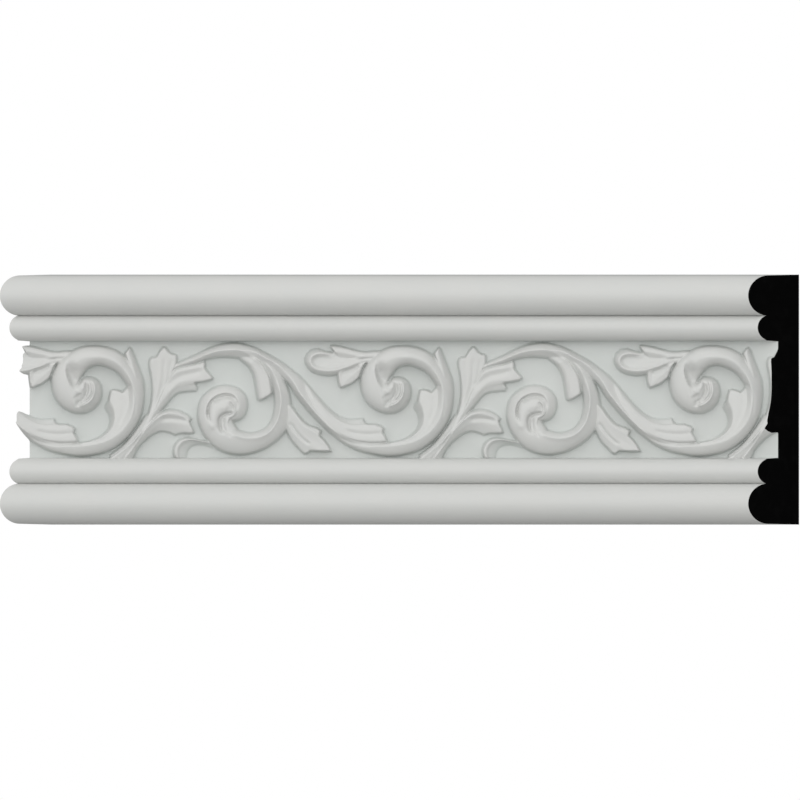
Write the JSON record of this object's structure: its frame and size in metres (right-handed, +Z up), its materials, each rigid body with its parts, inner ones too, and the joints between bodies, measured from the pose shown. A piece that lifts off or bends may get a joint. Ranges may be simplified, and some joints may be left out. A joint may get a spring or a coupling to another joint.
{
  "type": "chair rail moulding",
  "caption": "Length of cast chair rail moulding with plain beads along both edges and a running acanthus scroll in relief, mitred at both ends.",
  "frame": {"origin": "middle of the flat back, halfway along the run and halfway up", "axes": "+X along the run, +Y into the wall, -Y towards the room, +Z up the wall"},
  "size_m": [0.3964, 0.0252, 0.124],
  "materials": {
    "primed_polyurethane": "factory-primed pale grey with a soft satin sheen, and the sawn mitres black"
  },
  "bodies": {
    "root": {"chair_rail_moulding": "primed_polyurethane"}
  },
  "joints": []
}
